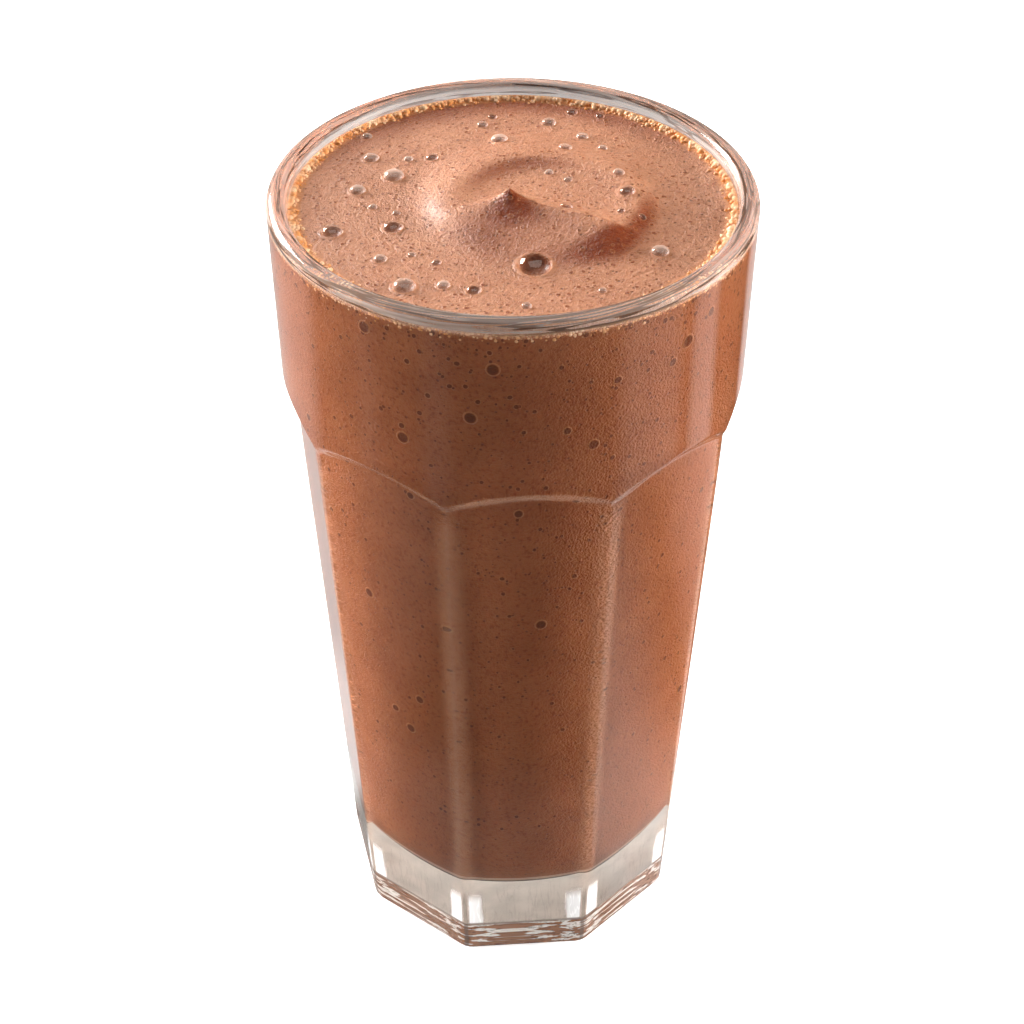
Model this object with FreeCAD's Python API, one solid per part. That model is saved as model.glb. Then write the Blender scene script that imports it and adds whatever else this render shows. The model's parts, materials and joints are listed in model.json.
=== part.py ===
"""A tall clear tumbler with nine arched facets, filled almost to its rim with a chocolate milkshake.

Millimetres, +Z up. The origin is the centre of the footprint, on the surface the glass stands on.
One facet faces -Y. Two pieces: the glass, and the milkshake that fills its cavity.
"""
import FreeCAD, Part
import math
import os

# glass, outside
height = 157.5            # foot to rim
rim_radius = 41.0         # widest, at the rim
band_height = 37.9        # smooth round band, from the rim down to the valleys between the arches
band_taper = 0.4          # how much the band narrows on its way down
facet_count = 9
corner_inset = 0.4        # how far the facet corners lie inside the band, at the valleys
arch_rise = 2.1           # height of each facet's arched top above the valleys
shoulder_slope = 0.7      # rise of the shoulder over its run, from a facet out to the band
foot_radius = 34.7        # to the facet corners, at the facets' lower edge
foot_height = 8.3         # upright band under the facets
foot_taper = 0.4          # how much the foot band narrows down to the table
foot_round = 1.2          # rounded lower edge
corner_round = 4.0        # rounded upright corners between the facets
recess_radius = 25.0      # shallow hollow under the foot
recess_depth = 1.5
rim_round = 1.5           # rounded lip, inside and outside

# glass, inside
rim_wall = 3.4
lower_wall = 3.0          # from the middle of a facet to the cavity, at the cavity's floor
base_thickness = 14.2     # solid glass under the cavity
heel_radius = 14.0        # rounded corner between the cavity's floor and wall

# milkshake
fill_gap = 2.7            # from the rim down to the milkshake, at the glass
mound_height = 1.4        # the folded-over disc in the middle
mound_radius = 19.0
mound_edge = 3.4          # width of the disc's sloping edge
mound_edge_change = 1.3   # how much narrower and wider that edge gets round the disc
mound_edge_azimuth = -20.0  # degrees from +X, where the edge is steepest
mound_centre = (4.0, 0.8)
ring_height = 0.95        # rounded fold along the disc's edge
ring_change = 0.25        # how much taller that fold is on the left and lower on the right
ring_radius = 15.2
ring_width = 3.6
ring_centre = (5.0, -3.0)
ring_gap_azimuth = -115.0  # where the fold sinks away
ring_gap_width = 55.0      # degrees
ridge_height = 1.6        # crest that runs through the tip, steep behind and gentle in front
ridge_back = 2.4
ridge_front = 7.0
ridge_left = 7.1          # from the tip to the crest's left end
ridge_right = 16.4        # from the tip to its right end
ridge_end = 3.0           # length over which each end dies away
ridge_bend = 1.2          # rounding of the crest's turn at the tip
ridge_slant_left = 0.3    # how fast the crest comes forward on each side of the tip
ridge_slant_right = 0.5
peak_height = 2.0         # pulled-up tip left by the pour
peak_width = 1.9
skirt_height = 0.4        # swell that the tip stands on
skirt_width = 4.5
peak_place = (-0.9, -4.8)
relief_pitch = 2.0        # spacing of the points that carry the surface

# worked out from the sizes above
half_sector = math.pi / facet_count
sector = 2 * half_sector
valley_height = height - band_height
band_radius = rim_radius - band_taper
valley_radius = band_radius - corner_inset
valley_apothem = valley_radius * math.cos(half_sector)
corner_growth = (valley_radius - foot_radius) / (valley_height - foot_height)
inner_top_radius = rim_radius - rim_wall
floor_corner_radius = foot_radius + corner_growth * (base_thickness - foot_height)
inner_floor_radius = floor_corner_radius * math.cos(half_sector) - lower_wall
cavity_depth = height - base_thickness
cavity_growth = (inner_top_radius - inner_floor_radius) / cavity_depth
fill_height = height - fill_gap
spare = 5.0               # how far the cutting solids run past what they cut


def rounded_polygon(corner_radius, level):
    """Closed outline with one side facing -Y; corner_radius reaches the corners before they are rounded."""
    apothem = corner_radius * math.cos(half_sector)
    arc_centre_radius = (apothem - corner_round) / math.cos(half_sector)
    edges = []
    for index in range(facet_count):
        corner_angle = -math.pi / 2 + half_sector + sector * index
        centre_x = arc_centre_radius * math.cos(corner_angle)
        centre_y = arc_centre_radius * math.sin(corner_angle)
        arc_points = []
        for turn in (-half_sector, 0.0, half_sector):
            point_x = centre_x + corner_round * math.cos(corner_angle + turn)
            point_y = centre_y + corner_round * math.sin(corner_angle + turn)
            arc_points.append(FreeCAD.Vector(point_x, point_y, level))
        if edges:
            last_point = edges[-1].valueAt(edges[-1].LastParameter)
            edges.append(Part.LineSegment(last_point, arc_points[0]).toShape())
        edges.append(Part.Arc(*arc_points).toShape())
    first_point = edges[0].valueAt(edges[0].FirstParameter)
    last_point = edges[-1].valueAt(edges[-1].LastParameter)
    edges.append(Part.LineSegment(last_point, first_point).toShape())
    return Part.Wire(edges)


def revolve(outline):
    """Solid of revolution round Z from a closed list of edges in the XZ plane."""
    face = Part.Face(Part.Wire(outline))
    return face.revolve(FreeCAD.Vector(0, 0, 0), FreeCAD.Vector(0, 0, 1), 360)


def line(start, end):
    """Edge between two (radius, height) points."""
    return Part.LineSegment(FreeCAD.Vector(start[0], 0, start[1]), FreeCAD.Vector(end[0], 0, end[1])).toShape()


def facet_core():
    """The faceted lower part: an upright foot band, and above it facets that lean outwards."""
    core_top = valley_height + arch_rise + spare / 2
    core_top_radius = foot_radius + corner_growth * (core_top - foot_height)
    foot_outline = rounded_polygon(foot_radius - foot_taper, 0.0)
    edge_outline = rounded_polygon(foot_radius, foot_height)
    top_outline = rounded_polygon(core_top_radius, core_top)
    foot = Part.makeLoft([foot_outline, edge_outline], True, True)
    facets = Part.makeLoft([edge_outline, top_outline], True, True)
    core = foot.fuse(facets)
    lower_edges = [edge for edge in core.Edges if edge.BoundBox.ZMax < foot_height / 2]
    return core.makeFillet(foot_round, lower_edges)


def arch_profile(distance):
    """Outline across one facet at a distance from the axis: open below, arched on top."""
    half_width = distance * math.tan(half_sector)
    end_height = valley_height + shoulder_slope * (distance - valley_apothem)
    bottom_left = FreeCAD.Vector(-half_width, -distance, -spare)
    bottom_right = FreeCAD.Vector(half_width, -distance, -spare)
    top_left = FreeCAD.Vector(-half_width, -distance, end_height)
    top_right = FreeCAD.Vector(half_width, -distance, end_height)
    top_middle = FreeCAD.Vector(0, -distance, end_height + arch_rise)
    left = Part.LineSegment(bottom_left, top_left).toShape()
    arch = Part.Arc(top_left, top_middle, top_right).toShape()
    right = Part.LineSegment(top_right, bottom_right).toShape()
    bottom = Part.LineSegment(bottom_right, bottom_left).toShape()
    return Part.Wire([left, arch, right, bottom])


def smooth_band():
    """The round band with its lower edge scalloped into one arch over each facet."""
    inner_distance = inner_floor_radius / 2
    outer_distance = rim_radius + spare
    tube = revolve([
        line((inner_distance + spare, 0), (band_radius, 0)),
        line((band_radius, 0), (band_radius, valley_height)),
        line((band_radius, valley_height), (rim_radius, height)),
        line((rim_radius, height), (inner_distance + spare, height)),
        line((inner_distance + spare, height), (inner_distance + spare, 0)),
    ])
    wedge = Part.makeLoft([arch_profile(inner_distance), arch_profile(outer_distance)], True, True)
    for index in range(facet_count):
        turned = wedge.copy()
        turned.rotate(FreeCAD.Vector(0, 0, 0), FreeCAD.Vector(0, 0, 1), math.degrees(sector * index))
        tube = tube.cut(turned)
    return tube


def inner_radius(level):
    """Radius of the cavity's wall at a height."""
    return inner_floor_radius + cavity_growth * (level - base_thickness)


def cavity(top):
    """The round tapered inside of the glass, from its floor up to a height."""
    wall_angle = math.atan(cavity_growth)
    arc_centre_height = base_thickness + heel_radius
    arc_centre_radius = inner_radius(arc_centre_height) - heel_radius / math.cos(wall_angle)
    floor_end = (arc_centre_radius, base_thickness)
    wall_x = arc_centre_radius + heel_radius * math.cos(wall_angle)
    wall_z = arc_centre_height - heel_radius * math.sin(wall_angle)
    middle_angle = (wall_angle + math.pi / 2) / 2
    middle_x = arc_centre_radius + heel_radius * math.cos(middle_angle)
    middle_z = arc_centre_height - heel_radius * math.sin(middle_angle)
    heel = Part.Arc(
        FreeCAD.Vector(floor_end[0], 0, floor_end[1]),
        FreeCAD.Vector(middle_x, 0, middle_z),
        FreeCAD.Vector(wall_x, 0, wall_z),
    ).toShape()
    return revolve([
        line((0, base_thickness), floor_end),
        heel,
        line((wall_x, wall_z), (inner_radius(top), top)),
        line((inner_radius(top), top), (0, top)),
        line((0, top), (0, base_thickness)),
    ])


def foot_recess():
    """Shallow dished hollow under the foot."""
    dish_radius = (recess_radius ** 2 + recess_depth ** 2) / (2 * recess_depth)
    return Part.makeSphere(dish_radius, FreeCAD.Vector(0, 0, recess_depth - dish_radius))


def make_glass():
    core = facet_core()
    body = smooth_band().fuse(core).removeSplitter()
    body = body.cut(cavity(height + spare))
    body = body.cut(foot_recess())
    lip_edges = []
    for edge in body.Edges:
        if edge.BoundBox.ZMin > height - 0.01:
            lip_edges.append(edge)
    return body.makeFillet(rim_round, lip_edges)


def fade(value, middle, width):
    """1 well below the middle, 0 well above it, with a smooth step of the given width."""
    return 0.5 - 0.5 * math.tanh((value - middle) / width)


def mound_relief(x, y):
    """The disc in the middle, with an edge that is steeper on two sides."""
    disc_x = x - mound_centre[0]
    disc_y = y - mound_centre[1]
    azimuth = math.atan2(disc_y, disc_x)
    edge = mound_edge - mound_edge_change * math.cos(2 * (azimuth - math.radians(mound_edge_azimuth)))
    return mound_height * fade(math.hypot(disc_x, disc_y), mound_radius, edge)


def ring_relief(x, y):
    """The rounded fold round the disc, with a gap where it sinks away."""
    ring_x = x - ring_centre[0]
    ring_y = y - ring_centre[1]
    azimuth = math.atan2(ring_y, ring_x)
    from_gap = (azimuth - math.radians(ring_gap_azimuth) + math.pi) % (2 * math.pi) - math.pi
    share = 1 - math.exp(-(from_gap / math.radians(ring_gap_width)) ** 2)
    across = (math.hypot(ring_x, ring_y) - ring_radius) / ring_width
    return (ring_height - ring_change * math.cos(azimuth)) * share * math.exp(-across ** 2)


def ridge_relief(x, y):
    """Crest that comes forward on both sides of the tip and dies away at both ends."""
    along = x - peak_place[0]
    slant = ridge_slant_right if along > 0 else ridge_slant_left
    crest = peak_place[1] + ridge_bend - math.hypot(ridge_bend, slant * along)
    width = ridge_back if y > crest else ridge_front
    left_end = 1 - fade(along, -ridge_left, ridge_end)
    right_end = fade(along, ridge_right, ridge_end)
    return ridge_height * math.exp(-(abs(y - crest) / width) ** 1.5) * left_end * right_end


def peak_relief(x, y):
    """The pointed tip and the swell under it."""
    distance = math.hypot(x - peak_place[0], y - peak_place[1])
    swell = skirt_height * math.exp(-(distance / skirt_width) ** 2)
    return peak_height * math.exp(-distance / peak_width) + swell


def relief(x, y):
    """Height of the milkshake's surface over its level at the glass."""
    edge_flat = fade(math.hypot(x, y), inner_top_radius - mound_edge, mound_edge / 2)
    return (mound_relief(x, y) + ring_relief(x, y) + ridge_relief(x, y) + peak_relief(x, y)) * edge_flat


def make_milkshake():
    """The cavity's contents under a smooth surface laid through a square grid of points."""
    reach = inner_top_radius + spare
    count = 2 * math.ceil(reach / relief_pitch) + 1
    rows = []
    for row in range(count):
        y = (row - count // 2) * relief_pitch
        points = []
        for column in range(count):
            x = (column - count // 2) * relief_pitch
            points.append(FreeCAD.Vector(x, y, fill_height + relief(x, y)))
        rows.append(points)
    surface = Part.BSplineSurface()
    surface.interpolate(rows)
    highest = mound_height + ring_height + ring_change + ridge_height + peak_height + skirt_height
    above = surface.toShape().extrude(FreeCAD.Vector(0, 0, highest + 2 * spare))
    return cavity(fill_height + highest + spare / 2).cut(above)


pieces = {"glass": make_glass(), "milkshake": make_milkshake()}
os.makedirs("parts", exist_ok=True)
for name, piece in pieces.items():
    solids = piece.Solids
    if len(solids) != 1 or not solids[0].isValid():
        raise ValueError(f"{name} is not one valid solid")
    solids[0].exportStep(f"parts/{name}.step")
    print(name, "volume", round(solids[0].Volume / 1000, 1), "ml, box", solids[0].BoundBox)
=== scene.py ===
import json
import math

import bpy
import numpy as np
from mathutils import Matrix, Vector

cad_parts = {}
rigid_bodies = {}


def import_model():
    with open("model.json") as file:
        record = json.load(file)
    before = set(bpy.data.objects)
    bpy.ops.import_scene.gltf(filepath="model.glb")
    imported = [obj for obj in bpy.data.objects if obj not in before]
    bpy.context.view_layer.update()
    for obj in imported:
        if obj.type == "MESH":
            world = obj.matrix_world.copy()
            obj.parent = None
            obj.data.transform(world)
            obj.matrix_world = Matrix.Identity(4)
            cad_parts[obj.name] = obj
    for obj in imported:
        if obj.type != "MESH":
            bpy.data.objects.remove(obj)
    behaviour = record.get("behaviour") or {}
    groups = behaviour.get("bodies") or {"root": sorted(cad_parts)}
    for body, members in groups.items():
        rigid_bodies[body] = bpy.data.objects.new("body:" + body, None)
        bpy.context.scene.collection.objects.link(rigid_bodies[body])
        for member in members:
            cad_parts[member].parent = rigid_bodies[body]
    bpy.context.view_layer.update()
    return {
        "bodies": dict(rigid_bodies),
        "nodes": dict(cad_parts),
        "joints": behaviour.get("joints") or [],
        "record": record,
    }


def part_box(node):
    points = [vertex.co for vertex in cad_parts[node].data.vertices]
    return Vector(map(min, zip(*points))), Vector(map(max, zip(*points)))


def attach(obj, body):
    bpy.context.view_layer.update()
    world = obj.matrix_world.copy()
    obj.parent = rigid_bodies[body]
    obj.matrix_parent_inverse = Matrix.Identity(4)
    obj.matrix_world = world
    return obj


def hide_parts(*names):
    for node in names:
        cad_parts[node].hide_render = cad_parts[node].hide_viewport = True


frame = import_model()

mm = 0.001
dice = np.random.default_rng(20)


def smoothStep(low, high, value):
    share = np.clip((value - low) / (high - low), 0, 1)
    return share * share * (3 - 2 * share)


def softMin(first, second, width):  # the smaller of two, rounded where they cross
    share = np.clip(0.5 + 0.5 * (second - first) / width, 0, 1)
    return second * (1 - share) + first * share - width * share * (1 - share)


def softMax(first, second, width):
    return -softMin(-first, -second, width)


def makePiece(name, points, faces, shading=None):
    mesh = bpy.data.meshes.new(name)
    mesh.from_pydata((np.asarray(points) * mm).tolist(), [], faces)
    mesh.validate()
    mesh.polygons.foreach_set("use_smooth", [True] * len(mesh.polygons))
    for title, values in (shading or {}).items():
        values = np.asarray(values, dtype=np.float32)
        isVector = values.ndim == 2
        layer = mesh.attributes.new(title, "FLOAT_VECTOR" if isVector else "FLOAT", "POINT")
        layer.data.foreach_set("vector" if isVector else "value", values.ravel())
    piece = bpy.data.objects.new(name, mesh)
    bpy.context.scene.collection.objects.link(piece)
    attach(piece, "root")
    return piece


def ringFaces(rows, columns, start=0):  # quads of a tube whose rows are rings of points
    faces = []
    for row in range(rows - 1):
        here = start + row * columns
        above = here + columns
        for column in range(columns):
            after = (column + 1) % columns
            faces.append((here + column, here + after, above + after, above + column))
    return faces


def capFaces(centre, ringStart, columns, flip):
    faces = []
    for column in range(columns):
        after = (column + 1) % columns
        corner = (ringStart + column, ringStart + after)
        faces.append((centre, corner[1], corner[0]) if flip else (centre, corner[0], corner[1]))
    return faces


# many copies of one small round shape; a profile row is distance, height and its marks, middle last
def stamp(profile, segments, places, normals, sizes, stretch=1.0):
    profile = np.asarray(profile)
    normals = normals / np.linalg.norm(normals, axis=1, keepdims=True)
    spin = dice.uniform(0, 2 * math.pi, len(places))
    loose = np.stack([np.cos(spin), np.sin(spin), 0.3 * np.cos(3 * spin)], 1)
    across = np.cross(normals, loose)
    across /= np.linalg.norm(across, axis=1, keepdims=True)
    along = np.cross(normals, across)
    angle = np.arange(segments) / segments * 2 * math.pi
    middle = profile[-1]
    reach = np.outer(profile[:-1, 0], np.cos(angle)).ravel() * stretch
    side = np.outer(profile[:-1, 0], np.sin(angle)).ravel() / stretch
    lift = np.repeat(profile[:-1, 1], segments)
    reach, side, lift = np.append(reach, 0), np.append(side, 0), np.append(lift, middle[1])
    scale = np.asarray(sizes)[:, None, None]
    points = places[:, None, :] + scale * (
        reach[None, :, None] * across[:, None, :]
        + side[None, :, None] * along[:, None, :]
        + lift[None, :, None] * normals[:, None, :])
    perStamp = len(reach)
    baseFaces = ringFaces(len(profile) - 1, segments)
    baseFaces += capFaces(perStamp - 1, (len(profile) - 2) * segments, segments, False)
    faces = []
    for index in range(len(places)):
        first = index * perStamp
        faces += [tuple(first + corner for corner in face) for face in baseFaces]
    rows = np.repeat(profile[:-1, 2:], segments, axis=0)
    marks = np.tile(np.vstack([rows, middle[None, 2:]]), (len(places), 1))
    return points.reshape(-1, 3), faces, marks


class Wire:  # a socket that can be used in plain arithmetic
    def __init__(self, finish, socket):
        self.finish = finish
        self.socket = socket

    def combine(self, operation, first, second):
        return self.finish.maths(operation, first, second)

    def __add__(self, other):
        return self.combine("ADD", self, other)

    def __radd__(self, other):
        return self.combine("ADD", other, self)

    def __sub__(self, other):
        return self.combine("SUBTRACT", self, other)

    def __rsub__(self, other):
        return self.combine("SUBTRACT", other, self)

    def __mul__(self, other):
        return self.combine("MULTIPLY", self, other)

    def __rmul__(self, other):
        return self.combine("MULTIPLY", other, self)

    def __truediv__(self, other):
        return self.combine("DIVIDE", self, other)

    def __rtruediv__(self, other):
        return self.combine("DIVIDE", other, self)

    def __pow__(self, other):
        return self.combine("POWER", self, other)


class Finish:  # one material and its nodes
    def __init__(self, name):
        self.material = bpy.data.materials.new(name)
        self.material.use_nodes = True
        self.tree = self.material.node_tree
        self.tree.nodes.clear()

    def node(self, kind, settings=None, sockets=None):
        made = self.tree.nodes.new(kind)
        for title, value in (settings or {}).items():
            if title == "stops":
                while len(made.color_ramp.elements) < len(value):
                    made.color_ramp.elements.new(0.5)
                for element, (place, shade) in zip(made.color_ramp.elements, value):
                    element.position = place
                    element.color = shade
            else:
                setattr(made, title, value)
        for title, value in (sockets or {}).items():
            if isinstance(value, Wire):
                self.tree.links.new(value.socket, made.inputs[title])
            else:
                made.inputs[title].default_value = value
        return made

    def wire(self, node, output=0):
        return Wire(self, node.outputs[output])

    def maths(self, operation, *values):
        made = self.node("ShaderNodeMath", {"operation": operation}, dict(enumerate(values)))
        return self.wire(made)

    def clamp(self, value):
        return self.wire(self.node("ShaderNodeClamp", None, {"Value": value}))

    def step(self, low, high, value):  # smooth step between two values
        settings = {"interpolation_type": "SMOOTHSTEP"}
        sockets = {"Value": value, "From Min": low, "From Max": high}
        return self.wire(self.node("ShaderNodeMapRange", settings, sockets))

    def mix(self, factor, first, second, blend="MIX"):
        settings = {"data_type": "RGBA", "blend_type": blend}
        return self.wire(self.node("ShaderNodeMix", settings, {0: factor, 6: first, 7: second}), 2)

    def stretch(self, vector, scale):
        return self.wire(self.node("ShaderNodeVectorMath", {"operation": "MULTIPLY"}, {0: vector, 1: scale}))

    def length(self, vector):
        made = self.node("ShaderNodeVectorMath", {"operation": "LENGTH"}, {0: vector})
        return self.wire(made, "Value")

    def place(self, scale=(1, 1, 1)):  # position on the object in millimetres, stretched
        spot = self.wire(self.node("ShaderNodeTexCoord"), "Object")
        return self.stretch(spot, tuple(share / mm for share in scale))

    def axes(self, vector):  # x, y and z of a place
        parts = self.node("ShaderNodeSeparateXYZ", None, {0: vector})
        return [self.wire(parts, axis) for axis in ("X", "Y", "Z")]

    def between(self, low, high, soft, value):  # 1 from low to high, with soft ends
        return self.step(low - soft, low, value) * self.step(high + soft, high, value)

    def noise(self, vector, scale, detail=3.0, roughness=0.5):
        sockets = {"Vector": vector, "Scale": scale, "Detail": detail, "Roughness": roughness}
        return self.wire(self.node("ShaderNodeTexNoise", None, sockets), "Fac")

    def cells(self, vector, scale, feature="F1", output="Distance"):
        sockets = {"Vector": vector, "Scale": scale}
        return self.wire(self.node("ShaderNodeTexVoronoi", {"feature": feature}, sockets), output)

    def attribute(self, title, output="Fac"):
        return self.wire(self.node("ShaderNodeAttribute", {"attribute_name": title}), output)

    def blend(self, factor, first, second):  # mix of two shaders
        made = self.node("ShaderNodeMixShader", None, {0: factor})
        self.tree.links.new(first.outputs[0], made.inputs[1])
        self.tree.links.new(second.outputs[0], made.inputs[2])
        return made

    def bump(self, height, distance, strength=1.0):
        sockets = {"Height": height, "Distance": distance, "Strength": strength}
        return self.wire(self.node("ShaderNodeBump", None, sockets), "Normal")

    def surface(self, shader):
        out = self.node("ShaderNodeOutputMaterial")
        self.tree.links.new(shader.outputs[0], out.inputs["Surface"])
        return self.material


tumbler = {
    "bandHeight": 37.9,
    "bandTaper": 0.4,
    "facetCount": 9,
    "cornerInset": 0.4,
    "archRise": 2.1,
    "shoulderSlope": 0.7,
    "shoulderSoftness": 1.7,
    "footRadius": 34.7,
    "footHeight": 8.3,
    "footTaper": 0.4,
    "footRound": 1.2,
    "footSoftness": 0.35,
    "cornerRound": 4.0,
    "recessRadius": 25.0,
    "recessDepth": 1.5,
    "rimRound": 1.5,
    "rimWall": 3.4,
    "lowerWall": 3.0,
    "baseThickness": 14.2,
    "heelRadius": 14.0,
    "stippleRadius": 29.5,   # frosted part of the foot, inside its clear ring
    "columns": 540,
}

glassLow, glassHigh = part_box("glass")
tumbler["height"] = round(glassHigh.z / mm, 2)
tumbler["rimRadius"] = round(glassHigh.x / mm, 1)

halfSector = math.pi / tumbler["facetCount"]
valleyHeight = tumbler["height"] - tumbler["bandHeight"]
bandRadius = tumbler["rimRadius"] - tumbler["bandTaper"]
valleyRadius = bandRadius - tumbler["cornerInset"]
valleyApothem = valleyRadius * math.cos(halfSector)
cornerGrowth = (valleyRadius - tumbler["footRadius"]) / (valleyHeight - tumbler["footHeight"])
innerTopRadius = tumbler["rimRadius"] - tumbler["rimWall"]
floorCorner = tumbler["footRadius"] + cornerGrowth * (tumbler["baseThickness"] - tumbler["footHeight"])
innerFloorRadius = floorCorner * math.cos(halfSector) - tumbler["lowerWall"]
cavityGrowth = (innerTopRadius - innerFloorRadius) / (tumbler["height"] - tumbler["baseThickness"])


def innerRadius(level):
    return innerFloorRadius + cavityGrowth * (level - tumbler["baseThickness"])


def polygonRadius(turn, cornerRadius):  # nine-sided outline with rounded corners; turn is 0 mid-facet
    rounding = tumbler["cornerRound"]
    apothem = cornerRadius * math.cos(halfSector)
    arcCentre = (apothem - rounding) / math.cos(halfSector)
    fromCorner = halfSector - np.abs(turn)
    arc = arcCentre * np.cos(fromCorner) + np.sqrt(
        np.maximum(rounding ** 2 - (arcCentre * np.sin(fromCorner)) ** 2, 0))
    straight = apothem / np.cos(turn)
    tangentTurn = math.atan((apothem - rounding) * math.tan(halfSector) / apothem)
    return np.where(np.abs(turn) < tangentTurn, straight, arc)


def outerRadius(turn, level):
    foot = tumbler["footRadius"] - tumbler["footTaper"] * (1 - level / tumbler["footHeight"])
    side = tumbler["footRadius"] + cornerGrowth * (level - tumbler["footHeight"])
    corner = softMax(foot, side, tumbler["footSoftness"])
    facet = polygonRadius(turn, corner)
    arch = tumbler["archRise"] * (1 - (np.tan(turn) / math.tan(halfSector)) ** 2)
    distance = valleyApothem + (level - valleyHeight - arch) / tumbler["shoulderSlope"]
    shoulder = distance / np.cos(turn)
    softness = tumbler["shoulderSoftness"]
    bandShare = np.clip((level - valleyHeight) / tumbler["bandHeight"], 0, 1)
    band = bandRadius + tumbler["bandTaper"] * bandShare
    return softMin(softMax(facet, shoulder, softness), band, softness)


def makeGlassShape():
    columns = tumbler["columns"]
    angle = np.arange(columns) / columns * 2 * math.pi
    sector = 2 * halfSector
    turn = (angle + math.pi / 2 + halfSector) % sector - halfSector
    rings, archMarks = [], []
    fromCorner = np.degrees(halfSector - np.abs(turn))

    def addRing(radius, level, arch=None):
        level = np.broadcast_to(level, angle.shape)
        rings.append(np.stack([radius * np.cos(angle), radius * np.sin(angle), level], 1))
        archMarks.append(np.zeros(columns) if arch is None else arch)

    dish = (tumbler["recessRadius"] ** 2 + tumbler["recessDepth"] ** 2) / (2 * tumbler["recessDepth"])
    for radius in np.linspace(1, tumbler["recessRadius"], 14):
        drop = dish - math.sqrt(dish ** 2 - radius ** 2)
        addRing(radius, tumbler["recessDepth"] - drop)
    for quarter in np.linspace(0, math.pi / 2, 7):  # rounded lower edge
        inset = tumbler["footRound"] * (1 - math.sin(quarter))
        level = tumbler["footRound"] * (1 - math.cos(quarter))
        addRing(outerRadius(turn, level) - inset, level)
    softness = tumbler["footSoftness"] * 8
    levels = list(np.linspace(2.5, tumbler["footHeight"] - softness, 4))
    levels += list(np.linspace(tumbler["footHeight"] - softness, tumbler["footHeight"] + softness, 12))[1:]
    levels += list(np.linspace(14, valleyHeight - 5, 16))
    levels += list(np.arange(valleyHeight - 4.6, valleyHeight + 8, 0.3))
    levels += list(np.linspace(valleyHeight + 9, tumbler["height"] - tumbler["rimRound"], 8))
    for level in levels:  # the steep shoulder over each arch is marked for the finish's painted light band
        slope = outerRadius(turn, level + 0.4) - outerRadius(turn, level - 0.4)
        addRing(outerRadius(turn, level), level, smoothStep(0.1, 0.75, slope) * (level > 60))
    rimTop = tumbler["height"]
    rounding = tumbler["rimRound"]
    for quarter in np.linspace(0, math.pi / 2, 8)[1:]:
        radius = tumbler["rimRadius"] - rounding * (1 - math.cos(quarter))
        addRing(radius, rimTop - rounding * (1 - math.sin(quarter)))
    for quarter in np.linspace(0, math.pi / 2, 8):
        level = rimTop - rounding * (1 - math.cos(quarter))
        addRing(innerTopRadius + rounding * (1 - math.sin(quarter)), level)
    for level in np.linspace(rimTop - rounding - 2, tumbler["baseThickness"] + tumbler["heelRadius"], 14):
        addRing(innerRadius(level), level)
    heel = tumbler["heelRadius"]
    heelStart = innerRadius(tumbler["baseThickness"] + heel)
    for quarter in np.linspace(0, math.pi / 2, 16)[1:]:
        level = tumbler["baseThickness"] + heel * (1 - math.sin(quarter))
        addRing(heelStart - heel * (1 - math.cos(quarter)), level)
    for radius in np.linspace(heelStart - heel, 1, 8)[1:]:
        addRing(radius, tumbler["baseThickness"])

    points = list(np.concatenate(rings))
    underCentre = len(points)
    points.append(np.array([0, 0, tumbler["recessDepth"]]))
    points.append(np.array([0, 0, tumbler["baseThickness"]]))
    faces = ringFaces(len(rings), columns)
    faces += capFaces(underCentre, 0, columns, True)
    faces += capFaces(underCentre + 1, (len(rings) - 1) * columns, columns, False)
    points = np.asarray(points)
    distance, azimuth = np.hypot(points[:, 0], points[:, 1]), np.arctan2(points[:, 1], points[:, 0])
    circles = [0.9 * distance + 2.2 * np.cos(azimuth), 0.9 * points[:, 2], 2.2 * np.sin(azimuth)]
    made = makePiece("tumblerGlass", points, faces, {
        "circles": np.stack(circles, 1),
        "arch": np.append(np.concatenate(archMarks), [0, 0]),
        "fromCorner": np.append(np.tile(fromCorner, len(rings)), [0, 0]),
    })
    made.data.materials.append(makeClearGlass())
    made.data.materials.append(makeStippledGlass())
    for face in made.data.polygons:
        underneath = face.center.z < (tumbler["recessDepth"] + 0.05) * mm
        if underneath and face.center.xy.length < tumbler["stippleRadius"] * mm:
            face.material_index = 1
    return made


def letLampsThrough(finish, glass):  # lamps shine straight through clear glass
    shadowRay = finish.wire(finish.node("ShaderNodeLightPath"), "Is Shadow Ray")
    clear = finish.node("ShaderNodeBsdfTransparent", None, {"Color": (0.3, 0.3, 0.3, 1)})
    return finish.blend(shadowRay, glass, clear)


def paintRimReflections(finish, streak):  # painted reflections: pale and dark streaks and edge lines for what the thick rim mirrors and bends; colour and share
    level = finish.axes(finish.place())[2]
    distance = finish.length(finish.place((1, 1, 0)))
    atRim = finish.step(tumbler["height"] - 2.9, tumbler["height"] - 1.5, level)
    dark = 0.85 * finish.between(0.53, 0.59, 0.05, streak)
    line = 0.5 * finish.between(38.1, 38.5, 0.3, distance) + 0.6 * finish.step(40.75, 40.95, distance)
    line = finish.clamp(line) * atRim
    colour = finish.mix(finish.clamp(dark + line), (0.88, 0.80, 0.73, 1), (0.085, 0.05, 0.035, 1))
    share = 0.22 + 0.2 * finish.step(0.46, 0.3, streak) + 0.6 * dark + 0.45 * line
    return atRim, colour, share


def paintFoot(finish, streak):  # the foot mirrors the drink in brown, white and dark lines
    fine = finish.noise(finish.attribute("circles", "Vector"), 2.6, 2.0, 0.5)
    dark = finish.between(0.54, 0.57, 0.04, fine)
    brown = finish.step(0.42, 0.48, streak)
    colour = finish.mix(brown, (0.85, 0.80, 0.74, 1), (0.22, 0.09, 0.045, 1))
    colour = finish.mix(dark * 0.85, colour, (0.07, 0.035, 0.025, 1))
    return colour, 0.5 + 0.32 * brown + 0.18 * dark


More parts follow.
